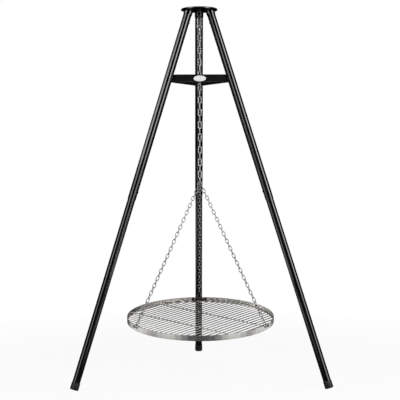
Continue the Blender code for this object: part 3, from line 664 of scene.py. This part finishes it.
# Head
def build_head():
    softened("pressed_disc", "top_disc", POWDER_BLACK, "black_paint", "stand", edge=0.0008)
    softened("turned_housing", "swivel_housing", POWDER_BLACK, "black_paint", "stand", edge=0.0005)
    loop = Shape()
    centre = AXIS + UP * EYE_CENTRE
    steps = 48
    turns = [2 * math.pi * i / steps for i in range(steps)]
    ring = [centre + (Y_AXIS * math.cos(turn) + UP * math.sin(turn)) * EYE_RADIUS for turn in turns]
    loop.add(*wire(ring, EYE_WIRE, sides=16, closed=True))
    _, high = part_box("swivel_eye")
    head_radius, head_depth = SHANK_HEAD
    head = high.z - head_depth
    top = EYE_CENTRE + EYE_RADIUS
    chamfer = 0.0004
    # The shank, from its head down into the top of the loop
    stem = [
        (0, high.z), (head_radius - chamfer, high.z), (head_radius, high.z - chamfer), (head_radius, head),
        (SHANK_RADIUS, head), (SHANK_RADIUS, top + 0.0035), (SHANK_RADIUS + 0.0008, top + 0.001),
        (SHANK_RADIUS + 0.0006, top - 0.001), (0, top - 0.001),
    ]
    loop.add(*turned(stem, steps=32), place=TO_AXIS)
    rough = bpy.data.objects.new("eye_rough", shape_mesh("eye_rough", loop))
    scene.collection.objects.link(rough)
    fuse = rough.modifiers.new("fuse", "REMESH")
    fuse.mode = "VOXEL"
    fuse.voxel_size = 0.0005
    ease = rough.modifiers.new("ease", "SMOOTH")
    ease.iterations = 5
    mesh = bpy.data.meshes.new_from_object(rough.evaluated_get(bpy.context.evaluated_depsgraph_get()))
    bpy.data.objects.remove(rough)
    show("forged_eye", mesh, POWDER_BLACK, "black_paint", "eye", "swivel_eye", sharp=60)


# Legs: the tubes keep their CAD form
def build_legs():
    leg_length = (HEIGHT - DISC_DEPTH) / math.cos(LEAN)
    seat = TUBE_RADIUS + GAP
    brace_seat = seat + BRACE_SHEET + GAP
    spigot_station = leg_length - SPIGOT_SCREW_DROP
    brace_station = (BRACE_TOP - BRACE_DEPTH / 2) / math.cos(LEAN)
    for side, azimuth in LEG_AZIMUTHS.items():
        spigot = f"leg_spigot_{side}"
        softened(f"collar_{side}", spigot, POWDER_BLACK, "black_paint", "stand", edge=0.0005)
        foot = f"foot_cap_{side}"
        softened(f"moulded_foot_{side}", foot, MOULDED_BLACK, "black_plastic", "stand", edge=0.0004)
        for tube in ("upper_leg", "lower_leg"):
            node = nodes[f"{tube}_{side}"]
            node.data.materials.clear()
            node.data.materials.append(POWDER_BLACK)
        leg = leg_frame(azimuth)
        add_screw("spigot_screw", side, leg, spigot_station, seat, TUBE_SCREW)
        add_screw("joint_screw", side, leg, JOINT_SCREW_STATION, seat, TUBE_SCREW)
        add_screw("brace_screw", side, leg, brace_station, brace_seat, BRACE_SCREW)


def add_screw(kind, side, leg, station, seat, sizes):
    """A button-head screw with a six-sided socket. Sizes: shank radius, head radius, head height."""
    radius, head, length = sizes
    name = f"{kind}_head_{side}"
    node = f"{kind}_{side}"
    socket = head * 0.46
    tip = 0.001
    # From the socket's floor over the head, then down the shank
    profile = [
        (0, length * 0.35), (socket * 0.97, length * 0.35, 6), (socket, length * 0.94, 6),
        (socket * 1.10, length), (head * 0.72, length * 0.93), (head * 0.90, length * 0.70),
        (head * 0.985, length * 0.36), (head, length * 0.16), (head * 0.97, 0),
        (radius * 1.05, 0), (radius, -0.0004), (radius, -SCREW_REACH + tip),
        (radius * 0.7, -SCREW_REACH), (0, -SCREW_REACH),
    ]
    place = leg @ Matrix.Translation((seat, 0, station)) @ Matrix.Rotation(math.pi / 2, 4, "Y")
    screw = Shape().add(*turned(profile, steps=36), place=place)
    show(name, shape_mesh(name, screw), SCREW_ZINC, "zinc", "stand", node, sharp=35)


# Brace
def build_brace():
    softened("pressed_brace", "brace_plate", BRACE_LIT_BLACK, "black_paint", "stand", edge=0.0007, segments=3)
    width, height, thickness = BADGE_SIZE
    low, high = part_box("badge")
    middle = (low + high) / 2
    steps = 72
    # Share of the oval, and how far it stands out
    rings = [
        (0.99, 0), (1.0, 0.15), (1.0, 0.65), (0.985, 0.9),
        (0.965, 1.0), (0.945, 0.98), (0.93, 0.88), (0.90, 0.86),
    ]
    crown = 0.97
    shape = Shape()
    for share, out in rings:
        inset = (1 - share) * height / 2
        for i in range(steps):
            turn = 2 * math.pi * i / steps
            x = (width / 2 - inset) * math.cos(turn)
            z = (height / 2 - inset) * math.sin(turn)
            shape.points.append(Vector((middle.x + x, high.y - out * thickness, middle.z + z)))
    for r in range(len(rings) - 1):
        for i in range(steps):
            j = (i + 1) % steps
            shape.faces.append((r * steps + i, r * steps + j, (r + 1) * steps + j, (r + 1) * steps + i))
    shape.faces.append(tuple(range(steps)))
    last = (len(rings) - 1) * steps
    centre = len(shape.points)
    shape.points.append(Vector((middle.x, high.y - crown * thickness, middle.z)))
    for i in range(steps):
        shape.faces.append((last + i, last + (i + 1) % steps, centre))
    badge = shape_mesh("bare_badge", shape)
    show("bare_badge", badge, GLOSSY_WHITE, "white_badge", "stand", "badge", sharp=50)


# Hanging gear
def arc(centre, radius, first, last, steps):
    """Points on an arc in the XZ plane, angles in degrees from +X."""
    turns = [math.radians(first + (last - first) * i / steps) for i in range(steps + 1)]
    return [centre + (X_AXIS * math.cos(turn) + UP * math.sin(turn)) * radius for turn in turns]


def build_snap_hook():
    centre = AXIS + UP * HOOK_CENTRE
    top, bottom = centre + UP * HOOK_STRAIGHT, centre - UP * HOOK_STRAIGHT
    side = X_AXIS * HOOK_HALF
    nose = [centre + side + UP * (GATE_HALF + rise) for rise in (0, 0.0004, 0.0012, 0.0024, 0.0031)]
    back = [centre - side + UP * rise for rise in (0.012, 0.006, 0, -0.006, -0.012)]
    heel = [centre + side - UP * (GATE_HALF + drop) for drop in (0.0030, 0.0015, 0.0004, 0)]
    path = nose + arc(top, HOOK_HALF, 0, 180, 20) + back + arc(bottom, HOOK_HALF, 180, 360, 20) + heel
    nose_radii = [0.0017, 0.0024, 0.0026, 0.0022, 0.0025]
    heel_radii = [0.0027, 0.0019]
    radii = nose_radii + [HOOK_WIRE] * (len(path) - len(nose_radii) - len(heel_radii)) + heel_radii
    body = Shape().add(*wire(path, radii, sides=16))
    hinge = centre + side - UP * (GATE_HALF - GATE_PLAY - GATE_WIRE)
    cheek_size = (0.0027, 0.0008, 0.0042)
    cheek_drop = 0.0022
    cheek_offset = 0.0034
    for cheek in (-1, 1):
        cheek_centre = hinge - UP * cheek_drop + Y_AXIS * cheek * cheek_offset
        body.add(*ball(cheek_centre, cheek_size, sides=16, rows=8))
    pin_half = 0.0044
    pin_radius = 0.0012
    body.add(*rod(hinge - Y_AXIS * pin_half, hinge + Y_AXIS * pin_half, pin_radius))
    show("hook_body", shape_mesh("hook_body", body), ZINC_PLATE, "zinc", "hook", "snap_hook", sharp=50)
    foot = centre + side - UP * (GATE_HALF - GATE_PLAY)
    head = centre + side + UP * (GATE_HALF - GAP)
    gate = Shape().add(*rod(foot, head, GATE_WIRE, sides=16, rounding=0.5))
    collar_size = (0.0029, 0.0029, 0.0020)
    collar_drop = 0.0030
    gate.add(*ball(head - UP * collar_drop, collar_size, sides=16, rows=8))
    show("hook_gate", shape_mesh("hook_gate", gate), ZINC_PLATE, "zinc", "gate", "snap_hook_gate", sharp=50)


def link_shape(half_length, half_width, radius, bend_steps, sides):
    """One link of round wire, flat in local XY with its length along Y, with a weld on one side."""
    straight = half_length - half_width
    # How much the weld swells the wire, by its place along the side
    weld = {0.06: 1.08, 0.0: 1.16, -0.06: 1.08}
    path = []
    radii = []
    for end in (1, -1):
        start = 0 if end > 0 else 180
        for i in range(bend_steps + 1):
            turn = math.radians(start + 180 * i / bend_steps)
            bend = Vector((math.cos(turn), math.sin(turn), 0)) * half_width
            path.append(bend + Y_AXIS * end * straight)
            radii.append(radius)
        for share in (0.25, 0.06, 0.0, -0.06, -0.25):
            swell = weld.get(share, 1.0) if end > 0 else 1.0
            path.append(Vector((-end * half_width, end * share * half_length, 0)))
            radii.append(radius * swell)
    return wire(path, radii, sides, closed=True)


def chain(start, end, count, first_across, last_across, radius, room, bend_steps, sides):
    """Links that bear on each other between two points, each a quarter turn from the one before."""
    along = (start - end).normalized()
    pitch = (start - end).length / count
    half_length = pitch / 2 + radius * 0.99
    points, faces = link_shape(half_length, room / 2 + radius, radius, bend_steps, sides)
    first = (first_across - along * first_across.dot(along)).normalized()
    last = (last_across - along * last_across.dot(along)).normalized()
    quarter_turns = math.pi / 2 * (count - 1)
    twist = math.atan2(along.dot(first.cross(last)), first.dot(last)) - quarter_turns
    spare = (twist + math.pi / 2) % math.pi - math.pi / 2
    shape = Shape()
    for k in range(count):
        turn = (quarter_turns + spare) * k / (count - 1)
        across = Matrix.Rotation(turn, 3, along) @ first
        place = frame_from(across, along, across.cross(along), start - along * pitch * (k + 0.5))
        shape.add(points, faces, place)
    return shape


def build_main_chain():
    top, bottom = (AXIS + UP * height for height in CHAIN_SEATS)
    links = chain(
        top, bottom, MAIN_LINKS, Y_AXIS, X_AXIS, MAIN_WIRE, MAIN_LINK_ROOM, bend_steps=12, sides=12
    )
    show("main_links", shape_mesh("main_links", links), ZINC_PLATE, "zinc", "chain", "main_chain", sharp=60)


def build_ring():
    centre = AXIS + UP * RING_CENTRE
    steps = 56
    turns = [2 * math.pi * i / steps for i in range(steps)]
    path = [centre + (Y_AXIS * math.cos(turn) + UP * math.sin(turn)) * RING_RADIUS for turn in turns]
    weld_step, weld_swell, weld_width = 16, 0.10, 1.2
    swells = [weld_swell * math.exp(-(((i - weld_step) / weld_width) ** 2)) for i in range(steps)]
    radii = [RING_WIRE * (1 + swell) for swell in swells]
    ring = shape_mesh("welded_ring", Shape().add(*wire(path, radii, sides=16, closed=True)))
    show("welded_ring", ring, ZINC_PLATE, "zinc", "ring", "junction_ring", sharp=60)


def build_bridle(side, azimuth):
    """A rim ring through the band's two windows, and the chain from it to the welded ring."""
    hang_radius = GRATE_RADIUS - BAND_WALL - RIM_RING_WIRE - RIM_RING_PLAY
    rim_point = grate_point(hang_radius, azimuth, -WINDOW_DROP)
    bearing_radius = RING_RADIUS - RING_WIRE - HANG - BRIDLE_WIRE
    ring_centre = AXIS + UP * RING_CENTRE
    steepness = (ring_centre - rim_point).normalized().z
    turn = BRIDLE_SEATS[side] * 2 * BRIDLE_WIRE / steepness / bearing_radius
    seat = ring_centre + Vector((0, math.sin(turn), -math.cos(turn))) * RING_RADIUS
    down = (rim_point - seat).normalized()
    anchor = rim_point - down * RIM_RING_RISE
    sideways = GRATE_FRAME.to_3x3() @ Vector((-radial(azimuth).y, radial(azimuth).x, 0))

    level = -WINDOW_DROP - RIM_RING_WIRE - GAP - RIM_RING_PLAY
    outside = GRATE_RADIUS + RIM_RING_WIRE + GAP
    inside = GRATE_RADIUS - BAND_WALL - RIM_RING_WIRE - GAP - RIM_RING_PLAY / 2
    spread = STRIP_WIDTH / 2 + RIM_RING_WIRE + RIM_RING_PLAY
    corners = []
    for end in (-1, 1):
        shift = sideways * spread * end
        bend = [
            anchor + sideways * end * RIM_RING_TOP / 2,
            grate_point(inside, azimuth, level) + shift,
            grate_point(outside, azimuth, level - RIM_RING_PLAY) + shift,
        ]
        corners += bend if end < 0 else bend[::-1]
    path = rounded_path(corners, RIM_RING_BEND)
    name = f"long_ring_{side}"
    ring = Shape().add(*wire(path, RIM_RING_WIRE, closed=True))
    show(name, shape_mesh(name, ring), BRIDLE_ZINC, "zinc", "grate", f"rim_ring_{side}", sharp=60)

    start = seat - down * RING_WIRE
    end = anchor + down * RIM_RING_WIRE
    count = round((start - end).length / BRIDLE_PITCH)
    last_across = down.cross(sideways)
    links = chain(
        start, end, count, X_AXIS, last_across, BRIDLE_WIRE, BRIDLE_LINK_ROOM, bend_steps=10, sides=10
    )
    name = f"bridle_links_{side}"
    show(name, shape_mesh(name, links), BRIDLE_ZINC, "zinc", "grate", f"bridle_chain_{side}", sharp=60)


# Grate
def build_grate():
    band = nodes["grate_band"]
    band.data.materials.clear()
    band.data.materials.append(BAND_STAINLESS)
    for side in LEG_AZIMUTHS:
        lug = f"hanger_lug_{side}"
        softened(f"bowed_lug_{side}", lug, BLACK_OXIDE, "black_steel", "grate", edge=0.0004)
    reach = (GRATE_RADIUS - BAND_WALL) * math.cos(math.pi / BAND_STEPS) - GAP
    along, across = radial(BAR_AZIMUTH), radial(BAR_AZIMUTH + 90)
    bar_level = -BAR_DROP - BAR_RADIUS
    cross_level = bar_level - CROSS_BELOW
    count = int(2 * reach / BAR_PITCH)
    grid = Shape()
    for i in range(count):
        offset = (i - (count - 1) / 2) * BAR_PITCH
        half = math.sqrt(max(reach**2 - (abs(offset) + BAR_RADIUS) ** 2, 0))
        if half < CROSS_OFFSET + 2 * BAR_RADIUS:
            continue
        middle = across * offset + UP * bar_level
        ends = [middle + along * half * end for end in (-1, 1)]
        grid.add(*rod(*ends, BAR_RADIUS, sides=14), place=GRATE_FRAME)
        for end in (-1, 1):
            weld = middle + along * end * (half - END_WELD_INSET)
            grid.add(*ball(weld, END_WELD), place=GRATE_FRAME)
            joint = middle + along * end * CROSS_OFFSET - UP * CROSS_BELOW / 2
            grid.add(*ball(joint, CROSS_WELD), place=GRATE_FRAME)
    for end in (-1, 1):
        half = math.sqrt(reach**2 - (CROSS_OFFSET + BAR_RADIUS) ** 2)
        middle = along * end * CROSS_OFFSET + UP * cross_level
        ends = [middle + across * half * turn for turn in (-1, 1)]
        grid.add(*rod(*ends, BAR_RADIUS, sides=14), place=GRATE_FRAME)
        for turn in (-1, 1):
            weld = middle + across * turn * (half - END_WELD_INSET)
            grid.add(*ball(weld, END_WELD), place=GRATE_FRAME)
    bars = shape_mesh("welded_bars", grid)
    show("welded_bars", bars, BAR_STAINLESS, "stainless", "grate", "grate_bars", sharp=50)


add_camera()
scene.view_settings.view_transform = "Standard"
add_world()
for softbox, place_and_size in SOFTBOXES.items():
    add_softbox(softbox, *place_and_size)
add_floor()
build_head()
build_legs()
build_brace()
build_snap_hook()
build_main_chain()
build_ring()
for bridle_side, bridle_azimuth in LEG_AZIMUTHS.items():
    build_bridle(bridle_side, bridle_azimuth)
build_grate()
